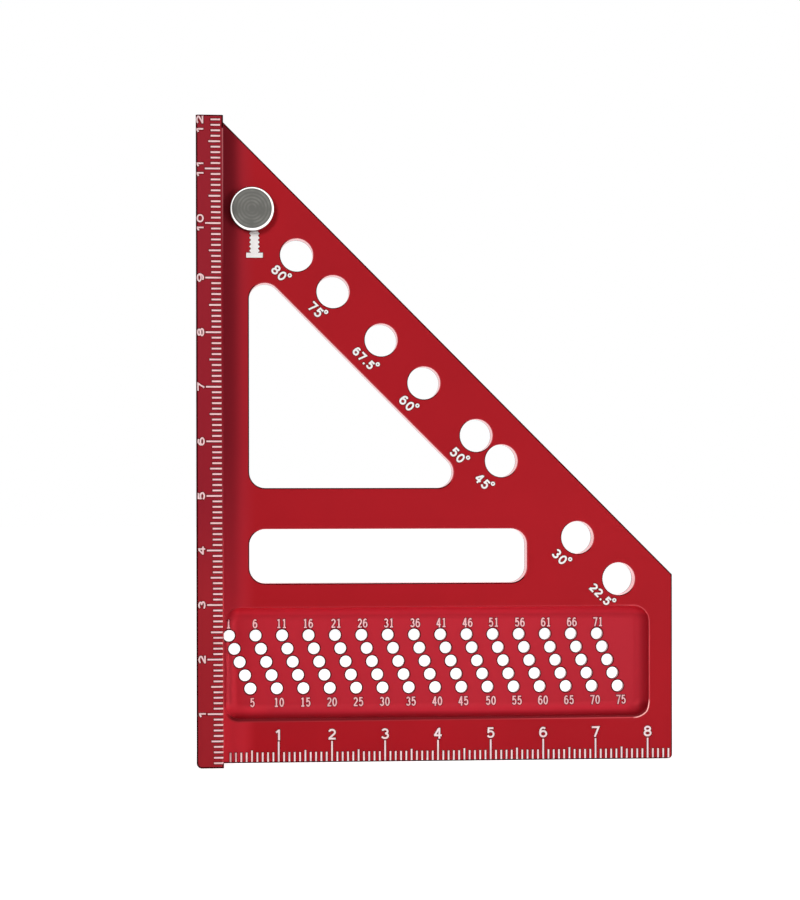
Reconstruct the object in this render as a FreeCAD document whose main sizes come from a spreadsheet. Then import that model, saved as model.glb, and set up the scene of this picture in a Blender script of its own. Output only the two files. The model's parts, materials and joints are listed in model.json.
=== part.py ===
import FreeCAD, Part
import os
import Sketcher

# A multi-angle layout square: one thin aluminium plate with a thicker fence along its left edge,
# and the turned steel pin that is kept in the plate's top hole.
# X runs from the fence's inner face along the bottom scale, Z runs up the fence, and the front
# of the plate faces -Y. The origin is the inner corner, at half the plate's thickness.

# Driving sizes in millimetres, and the marked angles in degrees
driving_sizes = [
    ("square_height", 120.0, "length of the fence, and height of the plate where it leaves the fence"),
    ("right_edge_height", 35.0, "height of the plate's right edge, where the 45 degree edge ends"),
    ("plate_thickness", 4.0, "thickness of the plate"),
    ("fence_thickness", 5.0, "width of the fence, seen from the front"),
    ("fence_depth", 20.0, "depth of the fence from its front face to its back face"),
    ("fence_corner_radius", 1.0, "rounding of the fence's outer lower corner"),
    ("plate_corner_radius", 0.8, "rounding of the plate's lower right corner"),
    ("fence_edge_break", 0.3, "chamfer along the fence's long edges"),
    ("plate_edge_break", 0.2, "chamfer round the plate's openings and free edges"),
    ("cutout_margin", 4.8, "solid plate left between the fence and both openings"),
    ("cutout_corner_radius", 3.0, "corner radius of both openings"),
    ("recess_bottom", 8.3, "height of the scribing recess's lower edge"),
    ("recess_height", 20.8, "height of the scribing recess"),
    ("recess_to_slot", 4.5, "full plate left between the recess and the slot"),
    ("slot_height", 10.2, "height of the slot"),
    ("slot_end_gap", 19.0, "from the slot's upper right corner straight across to the long edge"),
    ("slot_to_triangle", 7.7, "full plate left between the slot and the triangular opening"),
    ("recess_right_margin", 4.5, "full plate left to the right of the scribing recess"),
    ("recess_corner_radius", 3.0, "corner radius of the scribing recess"),
    ("recess_cove_radius", 2.5, "cove that the cutter leaves between the recess's wall and its floor"),
    ("web_thickness", 1.2, "metal left under the scribing recess"),
    ("scribing_hole_diameter", 2.2, "diameter of a scribing hole"),
    ("scribing_step", 1.0, "hole number n stands n steps from the fence's inner face"),
    ("scribing_row_pitch", 2.5, "drop from one row of scribing holes to the next"),
    ("scribing_rows", 5, "rows of scribing holes, spread evenly about the recess's middle"),
    ("scribing_end_margin", 4.5, "least floor to the right of the last scribing hole's centre"),
    ("angle_line_inset", 7.8, "from the long edge to the line of the angle holes"),
    ("angle_line_to_triangle", 7.05, "from the line of the angle holes to the triangular opening"),
    ("pin_diameter", 6.0, "diameter of the pin's shank"),
    ("pin_clearance", 0.1, "gap all round the pin in its holes"),
    ("hole_edge_break", 0.15, "chamfer at both ends of the angle holes"),
    ("pin_head_gap", 1.25, "from the fence's inner face to the stored pin's head"),
    ("pin_head_diameter", 8.2, "diameter of the pin's head"),
    ("pin_head_height", 2.5, "height of the pin's head above the plate"),
    ("pin_head_chamfer", 0.45, "chamfer round the face of the pin's head"),
    ("pin_tip_chamfer", 0.5, "chamfer at the pin's tip"),
    ("pin_tip_setback", 0.5, "how far the pin's tip stays behind the fence's back face"),
    ("pin_centre_radius", 0.5, "radius of the lathe centre mark in the head's face"),
    ("pin_centre_floor_radius", 0.2, "radius of the centre mark's floor"),
    ("pin_centre_depth", 0.3, "depth of the lathe centre mark"),
]
marked_angles = [80.0, 75.0, 67.5, 60.0, 50.0, 45.0, 30.0, 22.5]

TOUCH = 1e-4

doc = FreeCAD.newDocument("layout_square")
sheet = doc.addObject("Spreadsheet::Sheet", "Sizes")
for row, (alias, size, note) in enumerate(driving_sizes, start=1):
    sheet.set(f"A{row}", note)
    sheet.set(f"B{row}", str(size))
    sheet.setAlias(f"B{row}", alias)
for number, angle in enumerate(marked_angles, start=1):
    row = len(driving_sizes) + number
    sheet.set(f"A{row}", f"marked angle {number}, in degrees")
    sheet.set(f"B{row}", str(angle))
    sheet.setAlias(f"B{row}", f"marked_angle_{number}")
doc.recompute()


def size_of(expression):
    """The number that an expression over the sheet gives."""
    return float(sheet.evalExpression(expression))


def named(alias):
    return f"Sizes.{alias}"


def origin_plane(body, role):
    return next(plane for plane in body.Origin.OriginFeatures if plane.Role == role)


def front_sketch(body, name, forward="0"):
    """A sketch seen from the front, its plane moved forward from the middle of the plate."""
    sketch = body.newObject("Sketcher::SketchObject", name)
    sketch.AttachmentSupport = [(origin_plane(body, "XZ_Plane"), "")]
    sketch.MapMode = "FlatFace"
    sketch.setExpression("AttachmentOffset.Base.z", forward)
    return sketch


def drive(sketch, kind, references, expression):
    """One dimension of a sketch, bound to the sheet."""
    constraint = Sketcher.Constraint(kind, *references, size_of(expression))
    index = sketch.addConstraint(constraint)
    sketch.setExpression(f"Constraints[{index}]", expression)


def polygon(sketch, corners):
    """A closed outline of straight lines, each corner held by its two distances from the origin."""
    points = [FreeCAD.Vector(size_of(x), size_of(z), 0) for x, z in corners]
    lines = []
    for start, end in zip(points, points[1:] + points[:1]):
        lines.append(sketch.addGeometry(Part.LineSegment(start, end), False))
    for line, following in zip(lines, lines[1:] + lines[:1]):
        sketch.addConstraint(Sketcher.Constraint("Coincident", line, 2, following, 1))
    for line, (x, z) in zip(lines, corners):
        hold_point(sketch, line, 1, x, z)


def hold_point(sketch, geometry, end, x, z):
    """Hold a point of a sketch at its distances from the sketch's origin, on either side of it."""
    for kind, on_axis, expression in (("DistanceX", -2, x), ("DistanceY", -1, z)):
        place = size_of(expression)
        if abs(place) < TOUCH:
            sketch.addConstraint(Sketcher.Constraint("PointOnObject", geometry, end, on_axis))
        elif place > 0:
            drive(sketch, kind, (-1, 1, geometry, end), expression)
        else:
            drive(sketch, kind, (geometry, end, -1, 1), f"-({expression})")


def circles(sketch, centres, radius):
    """Circles of one radius, their centres given as pairs of expressions."""
    for x, z in centres:
        middle = FreeCAD.Vector(size_of(x), size_of(z), 0)
        circle = Part.Circle(middle, FreeCAD.Vector(0, 0, 1), size_of(radius))
        index = sketch.addGeometry(circle, False)
        hold_point(sketch, index, 3, x, z)
        drive(sketch, "Radius", (index,), radius)


def feature(body, kind, name):
    """A new feature of a body, once everything before it is up to date."""
    doc.recompute()
    return body.newObject(kind, name)


def pad_about_middle(body, name, sketch, thickness):
    pad = feature(body, "PartDesign::Pad", name)
    pad.Profile = sketch
    pad.SideType = "Symmetric"
    pad.setExpression("Length", thickness)
    return pad


def cut_through(body, name, sketch):
    cut = feature(body, "PartDesign::Pocket", name)
    cut.Profile = sketch
    cut.SideType = "Symmetric"
    cut.Type = "ThroughAll"
    return cut


def edges_where(shape_owner, wanted):
    doc.recompute()
    edges = shape_owner.Shape.Edges
    return [f"Edge{number}" for number, edge in enumerate(edges, start=1) if wanted(edge)]


def dress_edges(body, kind, name, wanted, size_name, expression):
    """Fillet or chamfer the edges of the body's last feature that pass a test."""
    base = body.Tip
    names = edges_where(base, wanted)
    if not names:
        raise RuntimeError(f"{name} finds no edge")
    dressing = feature(body, kind, name)
    dressing.Base = (base, names)
    dressing.setExpression(size_name, expression)
    return dressing


def fillet(body, name, wanted, radius):
    return dress_edges(body, "PartDesign::Fillet", name, wanted, "Radius", radius)


def chamfer(body, name, wanted, leg):
    return dress_edges(body, "PartDesign::Chamfer", name, wanted, "Size", leg)


def span(edge, axis):
    """The lowest and highest value that an edge reaches along one axis."""
    box = edge.BoundBox
    return {
        "x": (box.XMin, box.XMax),
        "y": (box.YMin, box.YMax),
        "z": (box.ZMin, box.ZMax),
    }[axis]


def lies_at(edge, axis, place):
    low, high = span(edge, axis)
    return abs(low - place) < TOUCH and abs(high - place) < TOUCH


def runs_through_at(x, z):
    """Picks the edges that run from front to back at one point of the front view."""
    return lambda edge: lies_at(edge, "x", x) and lies_at(edge, "z", z)


def at_any(corners):
    tests = [runs_through_at(size_of(x), size_of(z)) for x, z in corners]
    return lambda edge: any(test(edge) for test in tests)


# The square: plate and fence are one piece of aluminium
square = doc.addObject("PartDesign::Body", "square_body")
square.Label = "square_body"

half_plate = "Sizes.plate_thickness / 2"
fence_left = "-Sizes.fence_thickness"
plate_right = "(Sizes.square_height - Sizes.right_edge_height)"

# The plate's outline runs on across the fence's width
plate_outline = front_sketch(square, "plate_outline")
polygon(
    plate_outline,
    [
        (fence_left, "0"),
        (plate_right, "0"),
        (plate_right, named("right_edge_height")),
        ("0", named("square_height")),
        (fence_left, named("square_height")),
    ],
)
pad_about_middle(square, "plate", plate_outline, named("plate_thickness"))

fillet(
    square,
    "plate_corner",
    at_any([(plate_right, "0")]),
    named("plate_corner_radius"),
)


def is_free_outline_edge(edge):
    """Front and back edges along the plate's bottom, right and 45 degree sides."""
    high_x = span(edge, "x")[1]
    flat = any(lies_at(edge, "y", side * size_of(half_plate)) for side in (1, -1))
    along_fence = high_x < TOUCH
    return flat and not along_fence


chamfer(square, "outline_edges", is_free_outline_edge, named("plate_edge_break"))

# The fence stands proud of the plate on both sides
fence_outline = front_sketch(square, "fence_outline")
polygon(
    fence_outline,
    [
        (fence_left, "0"),
        ("0", "0"),
        ("0", named("square_height")),
        (fence_left, named("square_height")),
    ],
)
pad_about_middle(square, "fence", fence_outline, named("fence_depth"))
fillet(
    square,
    "fence_corner",
    at_any([(fence_left, "0")]),
    named("fence_corner_radius"),
)


def is_long_fence_edge(edge):
    """The four upright edges of the fence."""
    low_z, high_z = span(edge, "z")
    upright = any(lies_at(edge, "x", x) for x in (size_of(fence_left), 0.0))
    half_depth = size_of("Sizes.fence_depth / 2")
    outside = any(lies_at(edge, "y", side * half_depth) for side in (1, -1))
    return upright and outside and high_z - low_z > size_of("Sizes.square_height / 2")


chamfer(square, "fence_edges", is_long_fence_edge, named("fence_edge_break"))

# Upwards from the lower edge come the recess, the slot and the triangular opening,
# whose third side leaves one width of band along the 45 degree edge
recess_top = "(Sizes.recess_bottom + Sizes.recess_height)"
slot_bottom = f"({recess_top} + Sizes.recess_to_slot)"
slot_top = f"({slot_bottom} + Sizes.slot_height)"
slot_right = f"(Sizes.square_height - {slot_top} - Sizes.slot_end_gap)"
triangle_bottom = f"({slot_top} + Sizes.slot_to_triangle)"
opening_left = named("cutout_margin")
diagonal_band = "(Sizes.angle_line_inset + Sizes.angle_line_to_triangle)"
opening_sum = f"(Sizes.square_height - {diagonal_band} * sqrt(2))"
triangle_right = f"({opening_sum} - {triangle_bottom})"
triangle_top = f"({opening_sum} - Sizes.cutout_margin)"

triangle_corners = [
    (opening_left, triangle_bottom),
    (triangle_right, triangle_bottom),
    (opening_left, triangle_top),
]
triangle_outline = front_sketch(square, "triangle_outline")
polygon(triangle_outline, triangle_corners)
cut_through(square, "triangular_opening", triangle_outline)

slot_corners = [
    (opening_left, slot_bottom),
    (slot_right, slot_bottom),
    (slot_right, slot_top),
    (opening_left, slot_top),
]
slot_outline = front_sketch(square, "slot_outline")
polygon(slot_outline, slot_corners)
cut_through(square, "slot", slot_outline)
fillet(
    square,
    "opening_corners",
    at_any(triangle_corners + slot_corners),
    named("cutout_corner_radius"),
)


def is_opening_rim(edge):
    """Rims of the triangular opening and the slot, on the plate's front and back faces."""
    low_x, high_x = span(edge, "x")
    low_z, high_z = span(edge, "z")
    flat = any(lies_at(edge, "y", side * size_of(half_plate)) for side in (1, -1))
    openings = (
        (slot_right, slot_bottom, slot_top),
        (triangle_right, triangle_bottom, triangle_top),
    )
    inside = any(
        low_x > size_of(opening_left) - TOUCH
        and high_x < size_of(right) + TOUCH
        and low_z > size_of(bottom) - TOUCH
        and high_z < size_of(top) + TOUCH
        for right, bottom, top in openings
    )
    return flat and inside


chamfer(square, "opening_edges", is_opening_rim, named("plate_edge_break"))

# The recess thins the plate to a web, so that a pencil's point reaches through the small holes
recess_right = f"({plate_right} - Sizes.recess_right_margin)"
recess_corners = [
    ("0", named("recess_bottom")),
    (recess_right, named("recess_bottom")),
    (recess_right, recess_top),
    ("0", recess_top),
]
recess_outline = front_sketch(square, "recess_outline", forward=half_plate)
polygon(recess_outline, recess_corners)
recess = feature(square, "PartDesign::Pocket", "scribing_recess")
recess.Profile = recess_outline
recess.setExpression("Length", "Sizes.plate_thickness - Sizes.web_thickness")
fillet(square, "recess_corners", at_any(recess_corners), named("recess_corner_radius"))
recess_floor_place = size_of("Sizes.plate_thickness / 2 - Sizes.web_thickness")
fillet(
    square,
    "recess_cove",
    lambda edge: lies_at(edge, "y", recess_floor_place),
    named("recess_cove_radius"),
)

# One slanted column of scribing holes is drawn, and repeated along the bottom scale.
# The drill for hole 1 grazes the fence and leaves a shallow groove in its inner face
recess_middle = "(Sizes.recess_bottom + Sizes.recess_height / 2)"
rows_above_middle = "(Sizes.scribing_rows - 1) / 2"
first_column = [
    (
        f"{row} * Sizes.scribing_step",
        f"{recess_middle} + ({rows_above_middle} - {row - 1}) * Sizes.scribing_row_pitch",
    )
    for row in range(1, int(size_of(named("scribing_rows"))) + 1)
]
column_outline = front_sketch(square, "scribing_column")
circles(column_outline, first_column, "Sizes.scribing_hole_diameter / 2")
column_holes = cut_through(square, "scribing_holes", column_outline)
hole_columns = feature(square, "PartDesign::LinearPattern", "scribing_hole_columns")
hole_columns.Originals = [column_holes]
hole_columns.Direction = (column_outline, ["H_Axis"])
hole_columns.Mode = "Spacing"
column_pitch = "(Sizes.scribing_rows * Sizes.scribing_step)"
hole_columns.setExpression("Offset", column_pitch)
hole_columns.setExpression(
    "Occurrences",
    f"floor(({recess_right} - Sizes.scribing_end_margin) / {column_pitch})",
)
square.Tip = hole_columns

# An angle hole's pin touches the line that runs from the inner corner at the marked angle,
# and all the angle holes stand on one line beside the long edge
pin_radius = "Sizes.pin_diameter / 2"
hole_radius = "(Sizes.pin_diameter / 2 + Sizes.pin_clearance)"
line_sum = "(Sizes.square_height - Sizes.angle_line_inset * sqrt(2))"
angle_hole_centres = []
for number in range(1, len(marked_angles) + 1):
    turn = f"(Sizes.marked_angle_{number} * 1deg)"
    spread = f"(cos{turn} + sin{turn})"
    angle_hole_centres.append(
        (
            f"({line_sum} * cos{turn} - {pin_radius}) / {spread}",
            f"({line_sum} * sin{turn} + {pin_radius}) / {spread}",
        )
    )
head_radius = "(Sizes.pin_head_diameter / 2)"
storage_hole_x = f"({head_radius} + Sizes.pin_head_gap)"
storage_hole_centre = (storage_hole_x, f"({line_sum} - {storage_hole_x})")

# Each hole is drilled and countersunk from the front, and countersunk again from the back
for side, forward in (("front", half_plate), ("back", f"-({half_plate})")):
    centres = front_sketch(square, f"pin_hole_centres_{side}", forward=forward)
    circles(centres, angle_hole_centres + [storage_hole_centre], hole_radius)
    drilling = feature(square, "PartDesign::Hole", f"pin_holes_{side}")
    drilling.Profile = centres
    drilling.Threaded = False
    drilling.DepthType = "ThroughAll"
    drilling.Reversed = side == "back"
    drilling.HoleCutType = "Countersink"
    drilling.HoleCutCustomValues = True
    drilling.HoleCutCountersinkAngle = 90.0
    drilling.setExpression("Diameter", f"2 * {hole_radius}")
    drilling.setExpression("HoleCutDiameter", f"2 * {hole_radius} + 2 * Sizes.hole_edge_break")

# The locating pin is turned in one piece, head to the front
pin = doc.addObject("PartDesign::Body", "locating_pin")
pin.Label = "locating_pin"

tip_depth = "Sizes.fence_depth / 2 + Sizes.plate_thickness / 2 - Sizes.pin_tip_setback"
pin_profile = pin.newObject("Sketcher::SketchObject", "pin_profile")
pin_profile.AttachmentSupport = [(origin_plane(pin, "XY_Plane"), "")]
pin_profile.MapMode = "FlatFace"
head_face = "-Sizes.pin_head_height"
polygon(
    pin_profile,
    [
        ("0", f"{head_face} + Sizes.pin_centre_depth"),
        (named("pin_centre_floor_radius"), f"{head_face} + Sizes.pin_centre_depth"),
        (named("pin_centre_radius"), head_face),
        (f"{head_radius} - Sizes.pin_head_chamfer", head_face),
        (head_radius, f"{head_face} + Sizes.pin_head_chamfer"),
        (head_radius, "0"),
        (pin_radius, "0"),
        (pin_radius, f"{tip_depth} - Sizes.pin_tip_chamfer"),
        (f"{pin_radius} - Sizes.pin_tip_chamfer", tip_depth),
        ("0", tip_depth),
    ],
)
turned = feature(pin, "PartDesign::Revolution", "turned_pin")
turned.Profile = pin_profile
turned.ReferenceAxis = (pin_profile, ["V_Axis"])
turned.Angle = 360.0
pin.setExpression("Placement.Base.x", storage_hole_centre[0])
pin.setExpression("Placement.Base.y", f"-({half_plate})")
pin.setExpression("Placement.Base.z", storage_hole_centre[1])
doc.recompute()

# Nothing is written unless every feature holds and each piece is one valid solid
for item in doc.Objects:
    if "Invalid" in item.State or "Error" in item.State:
        raise RuntimeError(f"{item.Name} failed: {item.State}")
bodies = [square, pin]
for body in bodies:
    if body.Shape.isNull() or not body.Shape.isValid() or len(body.Shape.Solids) != 1:
        raise RuntimeError(f"{body.Label} is not one valid solid")

os.makedirs("parts", exist_ok=True)
for body in bodies:
    body.Shape.exportStep(f"parts/{body.Label}.step")
    print(body.Label, "volume", round(body.Shape.Volume, 1), "mm3")
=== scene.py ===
import json
from math import cos, pi, radians, sin, sqrt

import bmesh
import bpy
from mathutils import Matrix, Vector
from mathutils.bvhtree import BVHTree
from mathutils.geometry import delaunay_2d_cdt


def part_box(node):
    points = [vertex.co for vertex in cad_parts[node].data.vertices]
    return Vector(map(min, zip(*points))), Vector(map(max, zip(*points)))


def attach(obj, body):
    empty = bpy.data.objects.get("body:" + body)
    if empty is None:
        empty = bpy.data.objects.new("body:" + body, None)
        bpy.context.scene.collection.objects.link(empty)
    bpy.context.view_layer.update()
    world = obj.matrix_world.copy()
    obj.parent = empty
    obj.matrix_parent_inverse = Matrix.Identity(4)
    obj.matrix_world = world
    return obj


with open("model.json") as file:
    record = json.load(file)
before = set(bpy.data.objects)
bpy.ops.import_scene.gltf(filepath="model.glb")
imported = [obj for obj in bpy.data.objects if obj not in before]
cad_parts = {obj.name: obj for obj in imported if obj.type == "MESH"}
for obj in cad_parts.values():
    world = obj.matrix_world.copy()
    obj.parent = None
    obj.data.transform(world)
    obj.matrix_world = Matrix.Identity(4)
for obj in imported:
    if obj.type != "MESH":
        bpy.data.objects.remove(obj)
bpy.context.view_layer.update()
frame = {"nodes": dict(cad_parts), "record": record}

# Square body: plate and fence are one piece of aluminium, cut from a T-shaped bar, milled,
# bead blasted and dyed red by anodising. Its broken edges carry painted shade, the cutter's
# smooth walls a painted pale pink reflection, and the fence's front is a duller, colder red.
MM = 0.001
plate_front = -2.0
plate_apex = 117.6
plate_reach = 85.0
plate_red = (0.352, 0.0050, 0.0110)
cloudy_red = (0.373, 0.0053, 0.0117)
# Painted shade beside the fence, turning to painted light towards the fence's foot.
shaded_red = (0.310, 0.0140, 0.0280)
painted_foot_light_red = (0.610, 0.0280, 0.0470)
foot_heights = (60.0, 8.0)
beside_fence = (6.0, 0.5)

fence_front = -10.0
fence_top = 120.0
fence_red = (0.270, 0.0080, 0.0180)
# Painted light: the fence's front is lighter towards its foot.
fence_foot_red = (0.330, 0.0120, 0.0200)
fence_foot_heights = (48.0, 32.0)

recess_floor = 0.8
recess_middle = (40.25, 18.7)
recess_half = (40.25, 10.4)
recess_corner = 3.0
recess_red = (0.452, 0.0165, 0.0305)
# Painted light and shade in the recess: a lighter floor and cove near the fence, a lighter upper wall and
# right cove, and a darker left wall, lower wall and right corner.
painted_light_recess_red = (0.585, 0.0225, 0.0405)
painted_shade_recess_red = (0.270, 0.0070, 0.0140)
painted_shade_left_wall_red = (0.365, 0.0110, 0.0230)
painted_light_upper_wall_red = (0.900, 0.0330, 0.0620)
cove_red = (0.460, 0.0165, 0.0310)
painted_light_cove_right_red = (0.590, 0.0212, 0.0400)
pale_floor_span = (4.5, 2.0)
upper_wall_slopes = (-0.33, -0.88)
left_wall_slopes = (0.10, 0.55)
cove_slopes = (0.05, 0.40)
lower_wall_slopes = (0.57, 0.98)
recess_span = (14.0, 71.0)
pale_cove_span = (9.0, 3.0)
dark_cove_span = (76.5, 80.0)

# Painted shade: a dark lip on the face below the recess.
painted_shade_lip_red = (0.165, 0.0045, 0.0090)
lip_widths = (0.50, 0.35)
lip_fade = (0.30, -0.10)
lip_start = (0.3, 1.5)
lip_heights = (10.5, 9.0)
# Painted highlights: a pink line round the recess and on cut-outs' edges that face the light, white at the
# recess's lower right corner.
painted_highlight_pink = (0.600, 0.0600, 0.0740)
painted_highlight_white = (0.980, 0.5000, 0.4800)
rim_outside = (0.24, 0.14)
rim_inside = (-0.02, 0.02)
rim_faint = 0.25
rim_right_span = (72.0, 78.0)
rim_lower_span = (40.0, 75.0)
rim_lower_heights = (15.0, 12.0)
rim_corner_span = (77.4, 78.2)
rim_corner_heights = (11.4, 10.6)

scribing_first = 1.0
scribing_top = 23.7
scribing_pitch = 2.5
scribing_rim = (1.37, 1.23)
columns = 15
rows = 5

# Painted shade on broken edges, along the outline, at the fence's top and round the scribing holes.
painted_shade_edge_red = (0.045, 0.0020, 0.0030)
outline_width = 0.30
# Painted glint on the fence's inner front edge, near the top.
painted_glint_edge = (0.620, 0.1500, 0.1700)
painted_glint_heights = (92.0, 114.0)
# Painted reflection: pale pink on the cut-outs' walls, with painted shade towards the back.
painted_reflection_pink = (0.970, 0.4100, 0.4300)
painted_wall_shade = (0.240, 0.1500, 0.1500)
painted_wall_shade_depths = (1.15, 1.35)
dull_metal = 0.2
bright_metal = 0.9


class Finish:
    """A surface finish, written as a row of short steps."""

    def __init__(self, name):
        self.material = bpy.data.materials.new(name)
        self.material.use_nodes = True
        self.tree = self.material.node_tree
        self.tree.nodes.clear()

    def feed(self, socket, value):
        if isinstance(value, bpy.types.NodeSocket):
            self.tree.links.new(value, socket)
        else:
            socket.default_value = value

    def step(self, kind, *inputs, **settings):
        made = self.tree.nodes.new(kind)
        for key, value in settings.items():
            setattr(made, key, value)
        for socket, value in zip(made.inputs, inputs):
            self.feed(socket, value)
        return made

    def place(self):
        """Where a point lies on the object, in millimetres."""
        seat = self.step("ShaderNodeTexCoord")
        scaled = self.step("ShaderNodeVectorMath", seat.outputs["Object"], operation="SCALE")
        scaled.inputs["Scale"].default_value = 1 / MM
        return scaled.outputs[0]

    def facing(self):
        """Which way a point of the object faces."""
        return self.step("ShaderNodeTexCoord").outputs["Normal"]

    def parts(self, vector):
        return self.step("ShaderNodeSeparateXYZ", vector).outputs

    def math(self, operation, *values):
        return self.step("ShaderNodeMath", *values, operation=operation).outputs[0]

    def chain(self, operation, first, *others):
        for other in others:
            first = self.math(operation, first, other)
        return first

    def product(self, *values):
        return self.chain("MULTIPLY", *values)

    def most(self, *values):
        return self.chain("MAXIMUM", *values)

    def least(self, *values):
        return self.chain("MINIMUM", *values)

    def less(self, first, second):
        return self.math("SUBTRACT", first, second)

    def rest(self, share):
        """What a share leaves of one."""
        return self.less(1.0, share)

    def ramp(self, value, low, high, start=0.0, end=1.0):
        """Start at low, end at high, and a straight run between."""
        return self.step("ShaderNodeMapRange", value, low, high, start, end).outputs[0]

    def nearest(self, value, pitch, last):
        """The whole number of pitches nearest to a value, from nought to the last."""
        turns = self.math("ROUND", self.math("DIVIDE", value, pitch))
        return self.least(self.most(turns, 0.0), last)

    def reach(self, across, up):
        """How far a point lies from a centre, given its distance across and up."""
        squares = self.math("ADD", self.product(across, across), self.product(up, up))
        return self.math("SQRT", squares)

    def outside(self, x, z, middle, half, corner):
        """How far a point lies outside a round-cornered rectangle, or below nought inside it."""
        over = []
        for value, centre, size in zip((x, z), middle, half):
            away = self.math("ABSOLUTE", self.less(value, centre))
            over.append(self.less(away, size - corner))
        beyond = self.reach(*[self.most(value, 0.0) for value in over])
        within = self.least(self.most(*over), 0.0)
        return self.less(self.math("ADD", beyond, within), corner)

    def grain(self, place, per_mm):
        cloud = self.step("ShaderNodeTexNoise", place)
        cloud.inputs["Scale"].default_value = per_mm
        return cloud.outputs[0]

    def blend(self, share, first, second):
        mixer = self.step("ShaderNodeMix", share, data_type="RGBA")
        for socket, colour in ((mixer.inputs[6], first), (mixer.inputs[7], second)):
            self.feed(socket, colour if isinstance(colour, bpy.types.NodeSocket) else (*colour, 1.0))
        return mixer.outputs[2]

    def relief(self, height, depth_mm, strength):
        bumped = self.step("ShaderNodeBump")
        bumped.inputs["Strength"].default_value = strength
        bumped.inputs["Distance"].default_value = depth_mm * MM
        self.feed(bumped.inputs["Height"], height)
        return bumped.outputs[0]

    def done(self, colour, roughness, metallic, shine, normal):
        surface = self.step("ShaderNodeBsdfPrincipled")
        self.feed(surface.inputs["Base Color"], colour)
        self.feed(surface.inputs["Roughness"], roughness)
        self.feed(surface.inputs["Metallic"], metallic)
        self.feed(surface.inputs["Specular IOR Level"], shine)
        self.feed(surface.inputs["Normal"], normal)
        self.step("ShaderNodeOutputMaterial", surface.outputs[0])
        return self.material


def plate_colour(finish, place, x, z):
    """Slightly clouded red, with painted shade beside the fence and painted light towards the fence's foot.
    """
    cloud = finish.grain(place, 0.08)
    colour = finish.blend(finish.ramp(cloud, 0.3, 0.7), plate_red, cloudy_red)
    near_fence = finish.blend(finish.ramp(z, *foot_heights), shaded_red, painted_foot_light_red)
    return finish.blend(finish.ramp(x, *beside_fence), colour, near_fence)


def recess_colour(finish, x, facing_x, facing_z):
    """The recess's floor, painted lighter near the fence, then over it its upper wall in painted light, left
    wall in painted shade, cove painted lighter near the fence and towards the right but in painted shade at
    the right corner, and lower wall in painted shade.
    """
    colour = finish.blend(finish.ramp(x, *pale_floor_span), recess_red, painted_light_recess_red)
    colour = finish.blend(finish.ramp(facing_z, *upper_wall_slopes), colour, painted_light_upper_wall_red)
    colour = finish.blend(finish.ramp(facing_x, *left_wall_slopes), colour, painted_shade_left_wall_red)
    cove = finish.blend(finish.ramp(x, *recess_span), cove_red, painted_light_cove_right_red)
    cove = finish.blend(finish.ramp(x, *pale_cove_span), cove, painted_light_recess_red)
    cove = finish.blend(finish.ramp(x, *dark_cove_span), cove, painted_shade_recess_red)
    colour = finish.blend(finish.ramp(facing_z, *cove_slopes), colour, cove)
    return finish.blend(finish.ramp(facing_z, *lower_wall_slopes), colour, painted_shade_recess_red)


def recess_edge(finish, colour, off_recess, x, y, z):
    """The plate's face beside the recess: a dark lip of painted shade below it, and a painted highlight line
    all round, strongest at the right and the lower side and white at the lower right corner.
    """
    on_face = finish.ramp(y, plate_front + 0.02, plate_front + 0.01)
    below = finish.ramp(z, *lip_heights)
    lip_width = finish.ramp(x, *recess_span, *lip_widths)
    off_rim = finish.less(off_recess, finish.product(below, lip_width))
    lip = finish.product(finish.ramp(off_rim, *lip_fade), below, on_face, finish.ramp(x, *lip_start))
    colour = finish.blend(lip, colour, painted_shade_lip_red)

    rim = finish.product(finish.ramp(off_rim, *rim_outside), finish.ramp(off_rim, *rim_inside), on_face)
    right_side = finish.ramp(x, *rim_right_span)
    lower_side = finish.product(finish.ramp(z, *rim_lower_heights), finish.ramp(x, *rim_lower_span))
    painted_glint_rim = finish.product(rim, finish.most(right_side, lower_side, rim_faint))
    colour = finish.blend(painted_glint_rim, colour, painted_highlight_pink)
    corner = finish.product(finish.ramp(x, *rim_corner_span), finish.ramp(z, *rim_corner_heights))
    return finish.blend(finish.product(rim, corner), colour, painted_highlight_white)


def scribing_rims(finish, x, z):
    """A ring of painted shade round every scribing hole, from a point's distance to the nearest centre."""
    drop = finish.less(scribing_top, z)
    row = finish.nearest(drop, scribing_pitch, rows - 1)
    along = finish.less(finish.less(x, scribing_first), row)
    column = finish.nearest(along, float(rows), columns - 1)
    across = finish.less(along, finish.product(column, float(rows)))
    up = finish.less(drop, finish.product(row, scribing_pitch))
    return finish.ramp(finish.reach(across, up), *scribing_rim)


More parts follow.
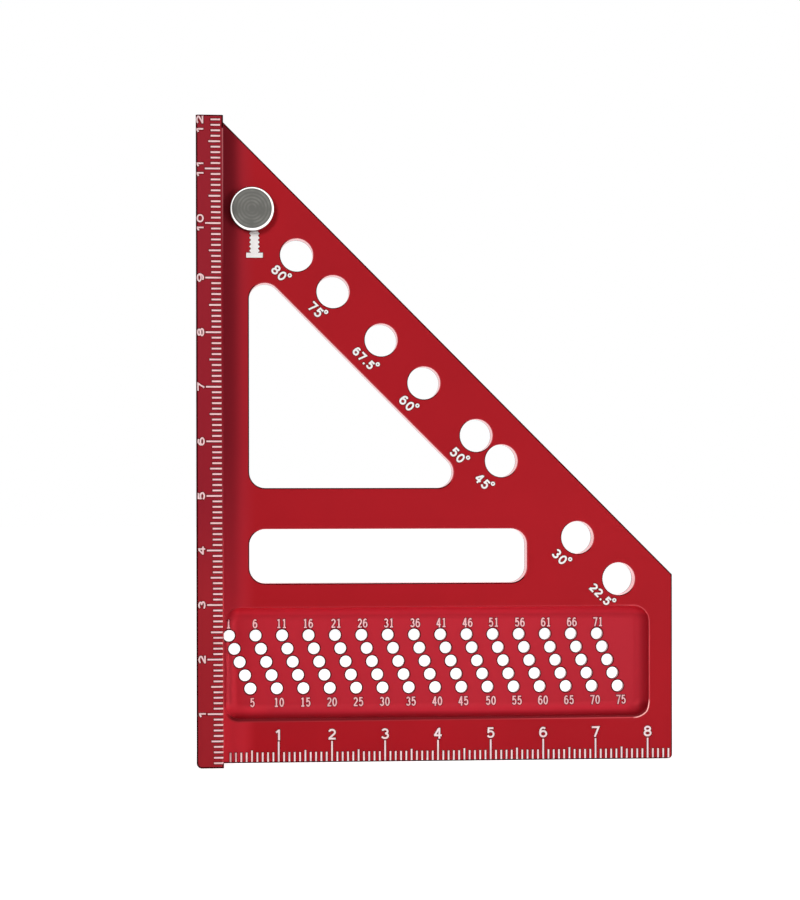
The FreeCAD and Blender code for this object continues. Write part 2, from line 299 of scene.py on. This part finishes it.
def anodised_red():
    finish = Finish("red_anodised_aluminium")
    place = finish.place()
    x, y, z = finish.parts(place)
    facing_x, facing_y, facing_z = finish.parts(finish.facing())
    flatness = finish.math("ABSOLUTE", facing_y)
    on_plate = finish.ramp(x, 0.02, 0.04)
    on_fence = finish.ramp(x, 0.02, -0.02)

    # Plate, recess and fence
    colour = plate_colour(finish, place, x, z)
    off_recess = finish.outside(x, z, recess_middle, recess_half, recess_corner)
    sunk = finish.ramp(y, plate_front + 0.02, plate_front + 0.10)
    not_deeper = finish.ramp(y, recess_floor + 0.06, recess_floor + 0.03)
    recess = finish.product(sunk, not_deeper, finish.ramp(off_recess, 0.1, 0.0))
    colour = finish.blend(recess, colour, recess_colour(finish, x, facing_x, facing_z))
    colour = recess_edge(finish, colour, off_recess, x, y, z)
    # Painted shade: a dark ring round each scribing hole.
    hole_rim = finish.product(scribing_rims(finish, x, z), recess)
    colour = finish.blend(hole_rim, colour, painted_shade_edge_red)
    # Painted light lifts the fence's front towards its foot.
    fence_colour = finish.blend(finish.ramp(z, *fence_foot_heights), fence_red, fence_foot_red)
    colour = finish.blend(on_fence, colour, fence_colour)

    # Broken edges: painted shade, except the fence's inner edge, and a painted highlight where the cut-outs'
    # edges face the light; painted shade also along the outline and the fence's top
    sloped = finish.product(finish.ramp(flatness, 0.95, 0.80), finish.ramp(flatness, 0.35, 0.50))
    near_face = finish.ramp(y, plate_front + 0.4, plate_front + 0.2)
    broken_edge = finish.product(sloped, near_face)
    near_fence_front = finish.ramp(y, fence_front + 1.2, fence_front + 1.0)
    inner_span = finish.product(finish.ramp(z, plate_apex + 0.1, plate_apex - 0.1), finish.ramp(z, 0.9, 1.1))
    inner_edge = finish.product(finish.ramp(x, -0.5, -0.4), near_fence_front, inner_span)
    top_line = finish.product(finish.ramp(z, fence_top - 0.25, fence_top - 0.2), near_fence_front)
    to_long_edge = finish.product(finish.less(fence_top, finish.math("ADD", x, z)), sqrt(0.5))
    to_outline = finish.least(to_long_edge, finish.less(plate_reach, x), z)
    outline = finish.ramp(to_outline, outline_width, outline_width - 0.1)
    outline = finish.product(outline, on_plate, near_face)
    within = finish.ramp(to_outline, 0.3, 0.5)
    towards_light = finish.ramp(finish.math("ADD", facing_x, facing_z), -0.05, -0.35)
    lit_edge = finish.product(broken_edge, towards_light, within, on_plate)
    dark = finish.most(finish.product(broken_edge, finish.rest(inner_edge)), top_line)
    dark = finish.most(finish.product(dark, finish.rest(lit_edge)), outline)
    colour = finish.blend(dark, colour, painted_shade_edge_red)
    colour = finish.blend(lit_edge, colour, painted_highlight_pink)
    # Painted glint along the fence's inner edge near the top.
    painted_glint = finish.product(sloped, inner_edge, finish.ramp(x, -0.25, -0.20), finish.ramp(z, *painted_glint_heights))
    colour = finish.blend(painted_glint, colour, painted_glint_edge)

    # Walls of the window, the slot and the holes: a painted pink reflection, with painted shade towards the
    # back
    upright = finish.ramp(flatness, 0.3, 0.1)
    behind_face = finish.ramp(y, plate_front + 0.1, plate_front + 0.15)
    wall = finish.product(upright, finish.rest(recess), on_plate, behind_face, within)
    foot = finish.ramp(y, *painted_wall_shade_depths)
    colour = finish.blend(wall, colour, painted_reflection_pink)
    colour = finish.blend(finish.product(wall, foot), colour, painted_wall_shade)
    mirror = finish.product(wall, finish.rest(foot))
    metallic = finish.ramp(mirror, 0.0, 1.0, dull_metal, bright_metal)

    # Blasted skin, smooth only where the cutter went through
    blasted = finish.grain(place, 7.0)
    roughness = finish.ramp(blasted, 0.25, 0.75, 0.42, 0.54)
    roughness = finish.less(roughness, finish.product(wall, 0.22))
    shine = finish.ramp(finish.most(dark, hole_rim), 0.0, 1.0, 0.1, 0.0)
    skin_relief = finish.relief(finish.product(blasted, finish.rest(wall)), 0.01, 0.5)
    return finish.done(colour, roughness, metallic, shine, skin_relief)


square = frame["nodes"]["square_body"]
square.data.materials.clear()
square.data.materials.append(anodised_red())

# Locating pin: turned from steel bar, with a low head whose rim is chamfered bright. It stands
# in the storage hole beside the top of the fence, its shank behind the plate.
pin = frame["nodes"]["locating_pin"]
pin_low, pin_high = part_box("locating_pin")
pin_x = (pin_low.x + pin_high.x) / 2 / MM
pin_z = (pin_low.z + pin_high.z) / 2 / MM
pin_face = pin_low.y / MM
groove_pitch = 0.62
groove_grey = (0.081, 0.080, 0.074)
ridge_grey = (0.121, 0.120, 0.110)
bright_steel = (0.93, 0.91, 0.89)
# Painted shade on the head's side.
painted_side_shade = (0.030, 0.0100, 0.0100)
pip_radius = 0.42
tail_face_radius = 1.1
chamfer_edge = 3.97
chamfer_shift = 0.07


def turned_steel():
    finish = Finish("turned_steel")
    place = finish.place()
    x, y, z = finish.parts(place)

    # Fine turning grooves on the head's face and on the tail's end
    out = finish.reach(finish.less(x, pin_x), finish.less(z, pin_z))
    grooves = finish.math("SINE", finish.product(out, 2 * pi / groove_pitch))
    stain = finish.grain(place, 0.45)
    share = finish.product(finish.ramp(grooves, -1.0, 1.0), finish.ramp(stain, 0.35, 0.65))
    face = finish.blend(share, groove_grey, ridge_grey)
    pip = finish.ramp(out, pip_radius + 0.05, pip_radius - 0.1)
    face = finish.blend(pip, face, groove_grey)
    head_face = finish.ramp(y, pin_face + 0.12, pin_face + 0.04)
    on_face = finish.most(head_face, finish.ramp(out, tail_face_radius, tail_face_radius - 0.1))
    colour = finish.blend(on_face, bright_steel, face)

    # The head's side carries painted shade, darker than its chamfer, which is a little wider at the lower
    # right
    right = finish.less(x, pin_x + chamfer_shift)
    raised = finish.less(z, pin_z - chamfer_shift)
    past_chamfer = finish.ramp(finish.reach(right, raised), chamfer_edge, chamfer_edge + 0.08)
    painted_head_shade = finish.product(past_chamfer, finish.ramp(y, 0.0, -0.1))
    colour = finish.blend(painted_head_shade, colour, painted_side_shade)

    # The grooves' relief, and beside it a chamfer that mirrors what lies in front
    roughness = finish.ramp(on_face, 0.0, 1.0, 0.30, 0.46)
    near_face = finish.ramp(y, pin_face + 0.9, pin_face + 0.7)
    rounded = finish.step("ShaderNodeMix", near_face, data_type="VECTOR")
    finish.feed(rounded.inputs[4], finish.relief(grooves, 0.004, 0.4))
    finish.feed(rounded.inputs[5], (0.0, -1.0, 0.0))
    return finish.done(colour, roughness, 1.0, 0.5, rounded.outputs[1])


pin.data.materials.clear()
pin.data.materials.append(turned_steel())

# Fence scale: white millimetre ticks and centimetre numbers on the fence's front face, read from
# the foot upwards. A laser marks them in the red dye, and each white line has a narrow dark
# border. The whole column leans a little to the left towards the top.
film = 0.02
print_border = 0.12
border_red = (0.130, 0.0010, 0.0030)
fence_white = (1.0, 0.68, 0.69)
fence_tick_width = 0.31
fence_tick_lengths = (1.73, 2.15, 2.82)
fence_tick_start = -0.10
fence_tick_lean = 0.0039
fence_bends = (("x", -4.7), ("x", -0.3))
fence_scale_growth = 1.0012
fence_count = 119
fence_number_size = (1.52, 1.34)
fence_number_pen = 0.29
fence_number_gap = 0.24
fence_number_middle = -3.92
fence_number_lean = 0.0030
fence_number_top = 119.80
fence_numbers = 12


def laser_mark(name, tone, shine):
    finish = Finish(name)
    place = finish.place()
    speckle = finish.grain(place, 6.0)
    colour = finish.blend(finish.ramp(speckle, 0.35, 0.65), tone, tuple(c * 0.93 for c in tone))
    return finish.done(colour, 0.6, 0.0, shine, finish.relief(speckle, 0.006, 0.5))


fence_print = laser_mark("fence_print", fence_white, 0.5)
# A plain dark border drawn under each white mark.
dark_border = laser_mark("dark_border", border_red, 0.0)
square_low, square_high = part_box("square_body")
skin_points = [corner.co for corner in square.data.vertices]
skin_faces = [face.vertices for face in square.data.polygons]
skin = BVHTree.FromPolygons(skin_points, skin_faces)


def bow(middle_x, middle_y, half_width, half_height, start, stop):
    """Part of an oval, drawn from one angle to another, in degrees."""
    count = max(2, round(abs(stop - start) / 18))
    angles = [radians(start + (stop - start) * k / count) for k in range(count + 1)]
    return [(middle_x + half_width * cos(a), middle_y + half_height * sin(a)) for a in angles]


def figure_strokes(figure, footed):
    """The pen's paths for one figure, in a box one wide and one high."""
    if figure == "0":
        return [bow(0.5, 0.5, 0.5, 0.5, 0, 360)]
    if figure == "1" and footed:
        return [[(0.12, 0.90), (0.50, 1.0)], [(0.54, 1.08), (0.54, 0.0)], [(0.05, 0.0), (0.95, 0.0)]]
    if figure == "1":
        return [[(0.10, 0.74), (0.48, 0.98)], [(0.55, 1.08), (0.55, -0.12)]]
    if figure == "2":
        return [bow(0.5, 0.72, 0.47, 0.28, 165, -30) + [(0.06, 0.04)], [(-0.06, 0.0), (1.08, 0.0)]]
    if figure == "3":
        return [bow(0.47, 0.76, 0.43, 0.24, 160, -85), bow(0.47, 0.27, 0.50, 0.27, 85, -160)]
    if figure == "4":
        return [[(1.1, 0.26), (-0.1, 0.26)], [(-0.06, 0.22), (0.62, 1.0)], [(0.72, 1.1), (0.72, -0.12)]]
    if figure == "5":
        return [[(0.95, 1.0), (0.17, 1.0), (0.10, 0.48)], bow(0.47, 0.33, 0.50, 0.33, 150, -155)]
    if figure == "6":
        return [bow(0.5, 0.31, 0.5, 0.31, 0, 360), bow(0.5, 0.5, 0.5, 0.5, 50, 180) + [(0.0, 0.31)]]
    if figure == "7":
        return [[(-0.1, 1.0), (1.0, 1.0), (0.38, -0.10)]]
    if figure == "8":
        return [bow(0.5, 0.77, 0.42, 0.23, 0, 360), bow(0.5, 0.27, 0.5, 0.27, 0, 360)]
    turned = figure_strokes("6", footed)
    return [[(1 - across, 1 - up) for across, up in path] for path in turned]


def side_run(start, stop, along):
    """One side of a pen step, or just its middle where a tight bend would fold it back."""
    return [start, stop] if (stop - start).dot(along) > 0 else [(start + stop) / 2]


def pen_steps(path, pen, border):
    """A pen stroke as short steps that share mitred corners, with a border round it."""
    points = [Vector(point) for point in path]
    closed = (points[0] - points[-1]).length < 1e-6
    if not closed:
        points[0] += (points[0] - points[1]).normalized() * border
        points[-1] += (points[-1] - points[-2]).normalized() * border
    sides = []
    for index, point in enumerate(points):
        ahead = points[index + 1] - point if index + 1 < len(points) else None
        behind = point - points[index - 1] if index > 0 else None
        if closed and ahead is None:
            ahead = points[1] - points[0]
        if closed and behind is None:
            behind = points[-1] - points[-2]
        ways = [way.normalized() for way in (behind, ahead) if way is not None]
        normals = [Vector((-way.y, way.x)) for way in ways]
        middle = sum(normals, Vector((0, 0))).normalized()
        reach = (pen / 2 + border) / max(middle.dot(normals[0]), 0.38)
        sides.append((point + middle * reach, point - middle * reach))
    steps = []
    for index, ((left, right), (next_left, next_right)) in enumerate(zip(sides, sides[1:])):
        along = points[index + 1] - points[index]
        step = side_run(right, next_right, along) + side_run(left, next_left, along)[::-1]
        steps.append(step)
    return steps


def figure_steps(text, size, pen, gap, border, footed=False):
    """A row of figures as flat pen steps, centred on nought."""
    width, height = size
    point_width = pen + 0.3 * width
    steps = []
    cursor = 0.0
    for figure in text:
        if figure == ".":
            left = cursor + (point_width - pen) / 2
            steps += pen_steps([(left, pen / 2), (left + pen, pen / 2)], pen, border)
            cursor += point_width + gap
            continue
        for path in figure_strokes(figure, footed):
            laid = []
            for across, up in path:
                laid.append((cursor + pen / 2 + across * (width - pen), pen / 2 + up * (height - pen)))
            steps += pen_steps(laid, pen, border)
        cursor += width + gap
    middle = Vector(((cursor - gap) / 2, height / 2))
    return [[corner - middle for corner in step] for step in steps]


def add_print(mesh, steps, place, turn=0.0):
    """Merges flat pen steps into one outline in front of the square."""
    corners = []
    loops = []
    for step in steps:
        loop = list(range(len(corners), len(corners) + len(step)))
        area = sum(step[k - 1].cross(step[k]) for k in range(len(step)))
        loops.append(loop if area > 0 else loop[::-1])
        corners += step
    points, _, faces, _, _, sources = delaunay_2d_cdt(corners, [], loops, 0, 1e-5)
    stand = (
        Matrix.Translation(Vector((place[0], 0, place[1])) * MM)
        @ Matrix.Rotation(-turn, 4, "Y")
        @ Matrix.Rotation(pi / 2, 4, "X")
        @ Matrix.Scale(MM, 4)
    )
    made = {}
    for face, source in zip(faces, sources):
        if not source:
            continue
        for corner in face:
            if corner not in made:
                made[corner] = mesh.verts.new(stand @ Vector((*points[corner], 0)))
        mesh.faces.new([made[corner] for corner in face])


def add_tick(mesh, low_x, high_x, low_z, high_z):
    corners = ((low_x, low_z), (high_x, low_z), (high_x, high_z), (low_x, high_z))
    mesh.faces.new([mesh.verts.new(Vector((x, 0, z)) * MM) for x, z in corners])


def printed(name, mesh, mark, height, folds):
    """Lays flat outlines on the square, folded where its surface bends, as one closed film."""
    for axis, level in folds:
        point = Vector((0, 0, 0))
        point["xyz".index(axis)] = level * MM
        everything = mesh.verts[:] + mesh.edges[:] + mesh.faces[:]
        bmesh.ops.bisect_plane(mesh, geom=everything, plane_co=point, plane_no=point.normalized())
    for side, edge in ((Vector((-1, 0, 0)), square_low), (Vector((0, 0, 1)), square_high)):
        everything = mesh.verts[:] + mesh.edges[:] + mesh.faces[:]
        inside = edge - side * film * MM
        bmesh.ops.bisect_plane(mesh, geom=everything, plane_co=inside, plane_no=side, clear_outer=True)
    for corner in mesh.verts:
        ahead = Vector((corner.co.x, square_low.y - 0.1, corner.co.z))
        corner.co.y = skin.ray_cast(ahead, Vector((0, 1, 0)))[0].y - height * MM
    front = mesh.faces[:]
    rims = [edge.verts[:] for edge in mesh.edges if edge.is_boundary]
    depth = Vector((0, 2 * height * MM, 0))
    sunk = {corner: mesh.verts.new(corner.co + depth) for corner in mesh.verts[:]}
    for face in front:
        mesh.faces.new([sunk[corner] for corner in face.verts])
    for first, second in rims:
        mesh.faces.new((first, second, sunk[second], sunk[first]))
    bmesh.ops.recalc_face_normals(mesh, faces=mesh.faces)
    data = bpy.data.meshes.new(name)
    mesh.to_mesh(data)
    mesh.free()
    data.materials.append(mark)
    marks = bpy.data.objects.new(name, data)
    bpy.context.scene.collection.objects.link(marks)
    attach(marks, "root")


def bordered(name, draw, white, border=print_border, border_finish=dark_border, folds=()):
    """Lays the same marks twice: wider and thinner as the dark border, then the white on top."""
    for suffix, extra, mark, height in (("_border", border, border_finish, film / 2), ("", 0.0, white, film)):
        mesh = bmesh.new()
        draw(mesh, extra)
        printed(name + suffix, mesh, mark, height, folds)


def tick_length(count, lengths):
    """The length for a millimetre, five or ten."""
    if count % 10 == 0:
        return lengths[2]
    return lengths[1] if count % 5 == 0 else lengths[0]


def draw_fence_ticks(mesh, border):
    for count in range(1, fence_count + 1):
        height = count * fence_scale_growth
        start = fence_tick_start - fence_tick_lean * height
        end = start - tick_length(count, fence_tick_lengths) - border
        half = fence_tick_width / 2 + border
        add_tick(mesh, end, start, height - half, height + half)


def draw_fence_numbers(mesh, border):
    for centimetre in range(1, fence_numbers + 1):
        steps = figure_steps(str(centimetre), fence_number_size, fence_number_pen, fence_number_gap, border)
        half_length = max(corner.x for step in steps for corner in step) - border
        height = centimetre * 10 * fence_scale_growth
        across = fence_number_middle - fence_number_lean * height
        add_print(mesh, steps, (across, min(height, fence_number_top - half_length)), turn=pi / 2)


bordered("fence_ticks", draw_fence_ticks, fence_print, folds=fence_bends)
bordered("fence_numbers", draw_fence_numbers, fence_print, folds=fence_bends)

# Bottom scale: the same laser marks along the plate's lower edge, counted from the fence's
# inner face, with its numbers upright above the centimetre ticks.
bottom_white = (1.0, 0.82, 0.82)
bottom_tick_width = 0.31
bottom_tick_start = 0.22
bottom_tick_lengths = (1.75, 2.13, 3.78)
bottom_scale_offset = 0.25
bottom_count = 84
bottom_number_size = (1.52, 2.02)
bottom_number_pen = 0.35
bottom_number_middle = 5.26
bottom_numbers = 8


def draw_bottom_ticks(mesh, border):
    for count in range(1, bottom_count + 1):
        across = count + bottom_scale_offset
        top = bottom_tick_start + tick_length(count, bottom_tick_lengths) + border
        half = bottom_tick_width / 2 + border
        add_tick(mesh, across - half, across + half, bottom_tick_start, top)


def draw_bottom_numbers(mesh, border):
    for centimetre in range(1, bottom_numbers + 1):
        steps = figure_steps(str(centimetre), bottom_number_size, bottom_number_pen, 0.0, border)
        place = (centimetre * 10 + bottom_scale_offset, bottom_number_middle)
        add_print(mesh, steps, place)


bottom_print = laser_mark("bottom_print", bottom_white, 0.5)
bordered("bottom_ticks", draw_bottom_ticks, bottom_print)
bordered("bottom_numbers", draw_bottom_numbers, bottom_print)

# Angle numbers: each angle hole has its angle marked beside it, in line with the long edge,
# with a raised degree ring after it. Some numbers lie a little nearer to their holes than others.
angle_white = (1.0, 0.98, 0.97)
angle_number_size = (1.33, 1.88)
half_number_size = (1.24, 1.70)
angle_number_pen = 0.36
angle_number_gap = 0.28
half_number_gap = 0.14
degree_radius = 0.27
degree_pen = 0.28
degree_gap = 0.27
degree_rise = 1.08
angle_number_places = {
    "80": (0.06, 4.72),
    "75": (0.08, 4.71),
    "67.5": (0.10, 4.79),
    "60": (0.41, 4.99),
    "50": (0.11, 5.14),
    "45": (0.21, 5.29),
    "30": (0.16, 5.01),
    "22.5": (-0.42, 4.56),
}


def draw_angle_numbers(mesh, border):
    for text, (along, below) in angle_number_places.items():
        mount_name = "angle_hole_" + text.replace(".", "_")
        hole = next(mount["pos_m"] for mount in frame["record"]["mounts"] if mount["name"] == mount_name)
        size, gap = angle_number_size, angle_number_gap
        if "." in text:
            size, gap = half_number_size, half_number_gap
        steps = figure_steps(text, size, angle_number_pen, gap, border)
        right_end = max(corner.x for step in steps for corner in step) - border
        ring = bow(right_end + degree_gap, degree_rise, degree_radius, degree_radius, 0, 360)
        steps += pen_steps(ring, degree_pen, border)
        slope = pi / 4
        place = (
            hole[0] / MM + along * cos(slope) - below * sin(slope),
            hole[2] / MM - along * sin(slope) - below * cos(slope),
        )
        add_print(mesh, steps, place, turn=-slope)


angle_print = laser_mark("angle_print", angle_white, 0.5)
bordered("angle_numbers", draw_angle_numbers, angle_print)

# Scribing hole numbers: thin narrow figures on the floor of the recess, above the first hole
# of each slanted column and below its last, so that a pencil finds its millimetre.
thin_white = (1.0, 0.62, 0.64)
thin_border = 0.12
thin_border_red = (0.170, 0.0060, 0.0140)
hole_number_size = (0.88, 1.72)
hole_number_pen = 0.25
hole_number_gap = 0.14
upper_number_middle = 25.93
upper_number_shifts = (-0.10, 0.20)
upper_drift_column = 4
lower_number_middle = 11.08
lower_number_shifts = (0.39, 0.63)
lower_drift_column = 9
cove_bend_step = 0.25
lower_cove_bends = [("z", 9.9 + cove_bend_step * step) for step in range(4)]
left_cove_bends = [("x", 0.2 + cove_bend_step * step) for step in range(10)]


def draw_hole_numbers(mesh, border):
    for column in range(columns):
        first = column * rows + 1
        last = first + rows - 1
        upper_shift = upper_number_shifts[column >= upper_drift_column]
        lower_shift = lower_number_shifts[column >= lower_drift_column]
        for number, shift, middle in (
            (first, upper_shift, upper_number_middle),
            (last, lower_shift, lower_number_middle),
        ):
            pen, gap = hole_number_pen, hole_number_gap
            steps = figure_steps(str(number), hole_number_size, pen, gap, border, footed=True)
            add_print(mesh, steps, (number + shift, middle))


thin_print = laser_mark("thin_print", thin_white, 0.3)
thin_dark_border = laser_mark("thin_dark_border", thin_border_red, 0.0)
cove_bends = lower_cove_bends + left_cove_bends
bordered("scribing_hole_numbers", draw_hole_numbers, thin_print, thin_border, thin_dark_border, cove_bends)

# Pin mark: a small plain screw shape, marked solid under the storage hole, shows where the
# pin is kept. Its toothed shank stands on a flat flange.
mark_middle = 5.86
mark_foot = 94.66
mark_top = 99.6
flange_half = 1.55
flange_height = 0.92
shank_half = 0.80
tooth_depth = 0.17
teeth = 5
crest_share = 0.45


def band_step(low, low_half, high, high_half):
    """A flat band between two levels, as wide at each as it is told."""
    corners = [(-low_half, low), (low_half, low), (high_half, high), (-high_half, high)]
    return [Vector(corner) for corner in corners]


def draw_pin_mark(mesh, border):
    tooth_pitch = (mark_top - mark_foot - flange_height) / teeth
    root = shank_half - tooth_depth + border
    crown = shank_half + tooth_depth + border
    flange_edge = flange_half + border
    flange_top = mark_foot + flange_height
    steps = [band_step(mark_foot - border, flange_edge, flange_top + border, flange_edge)]
    for tooth in range(teeth):
        low = flange_top + tooth * tooth_pitch
        crest = low + crest_share * tooth_pitch
        high = low + tooth_pitch
        steps.append(band_step(low, root, crest, crown))
        steps.append(band_step(crest, crown, high, root))
    add_print(mesh, steps, (mark_middle, 0.0))


bordered("pin_mark", draw_pin_mark, angle_print)

# Studio: a white floor that keeps the square's soft shadow, and white all round. One lamp
# shines from the upper left, so the fence shades the plate, a weaker one from the lower right,
# one from low at the right on the fence's foot, and one from behind on the back.
floor_white = 0.80
floor_glow = 0.88
world_light = 0.20
floor_half = 3.0


def white_world():
    world = bpy.data.worlds.new("white_studio")
    world.use_nodes = True
    tree = world.node_tree
    tree.nodes.clear()
    path = tree.nodes.new("ShaderNodeLightPath")
    seen = path.outputs["Is Camera Ray"]
    for ray in ("Is Glossy Ray", "Is Transmission Ray"):
        either = tree.nodes.new("ShaderNodeMath")
        either.operation = "MAXIMUM"
        tree.links.new(seen, either.inputs[0])
        tree.links.new(path.outputs[ray], either.inputs[1])
        seen = either.outputs[0]
    strength = tree.nodes.new("ShaderNodeMapRange")
    tree.links.new(seen, strength.inputs["Value"])
    strength.inputs["To Min"].default_value = world_light
    strength.inputs["To Max"].default_value = 1.0
    background = tree.nodes.new("ShaderNodeBackground")
    background.inputs["Color"].default_value = (1, 1, 1, 1)
    tree.links.new(strength.outputs[0], background.inputs["Strength"])
    output = tree.nodes.new("ShaderNodeOutputWorld")
    tree.links.new(background.outputs[0], output.inputs["Surface"])
    return world


def white_floor():
    finish = Finish("white_floor")
    pale = finish.step("ShaderNodeBsdfDiffuse", (floor_white, floor_white, floor_white, 1))
    glow = finish.step("ShaderNodeEmission", (1, 1, 1, 1), floor_glow)
    seen = finish.step("ShaderNodeAddShader", pale.outputs[0], glow.outputs[0])
    path = finish.step("ShaderNodeLightPath")
    shown = finish.most(path.outputs["Is Camera Ray"], path.outputs["Is Glossy Ray"])
    either = finish.step("ShaderNodeMixShader", shown, pale.outputs[0], seen.outputs[0])
    finish.step("ShaderNodeOutputMaterial", either.outputs[0])
    return finish.material


def lamp(name, place, target, size, power, spread):
    light = bpy.data.lights.new(name, "AREA")
    light.shape = "DISK"
    light.size = size
    light.energy = power
    light.spread = radians(spread)
    holder = bpy.data.objects.new(name, light)
    holder.location = place
    holder.rotation_euler = (Vector(target) - Vector(place)).to_track_quat("-Z", "Y").to_euler()
    bpy.context.scene.collection.objects.link(holder)


bpy.context.scene.world = white_world()
lamp("upper_left_lamp", (-0.16, -0.45, 0.24), target=(0.04, 0, 0.10), size=0.14, power=0.096, spread=47)
lamp("lower_right_lamp", (0.25, -0.40, 0.04), target=(0.03, 0, 0.02), size=0.12, power=0.0375, spread=40)
lamp("fence_foot_lamp", (0.50, -0.06, 0.02), target=(0, -0.006, 0), size=0.04, power=0.009, spread=16)
lamp("back_lamp", (0.20, 0.45, 0.30), target=(0.04, 0, 0.05), size=0.20, power=0.10, spread=60)
floor_mesh = bmesh.new()
bmesh.ops.create_grid(floor_mesh, x_segments=1, y_segments=1, size=floor_half)
floor_data = bpy.data.meshes.new("floor")
floor_mesh.to_mesh(floor_data)
floor_mesh.free()
floor_data.materials.append(white_floor())
floor = bpy.data.objects.new("floor", floor_data)
bpy.context.scene.collection.objects.link(floor)

# Camera: the photograph's viewpoint, a little below the square's middle and turned slightly to
# the right. The lens is shifted upwards, so the upright edges stay parallel in the picture.
image_height = 900
focal_pixels = 2261.3
lens_rise = 0.0503
sensor_width = 36.0
turn_right = 0.0810
tilt_up = -0.0009
roll = -0.0015
camera_place = (-1.315, -426.33, 50.5)

camera_data = bpy.data.cameras.new("camera")
camera_data.sensor_width = sensor_width
camera_data.lens = focal_pixels * sensor_width / image_height
camera_data.shift_y = lens_rise
camera = bpy.data.objects.new("camera", camera_data)
camera.matrix_world = (
    Matrix.Translation(Vector(camera_place) * MM)
    @ Matrix.Rotation(-turn_right, 4, "Z")
    @ Matrix.Rotation(pi / 2 + tilt_up, 4, "X")
    @ Matrix.Rotation(roll, 4, "Z")
)
bpy.context.scene.collection.objects.link(camera)
bpy.context.scene.camera = camera
bpy.context.scene.view_settings.view_transform = "Standard"
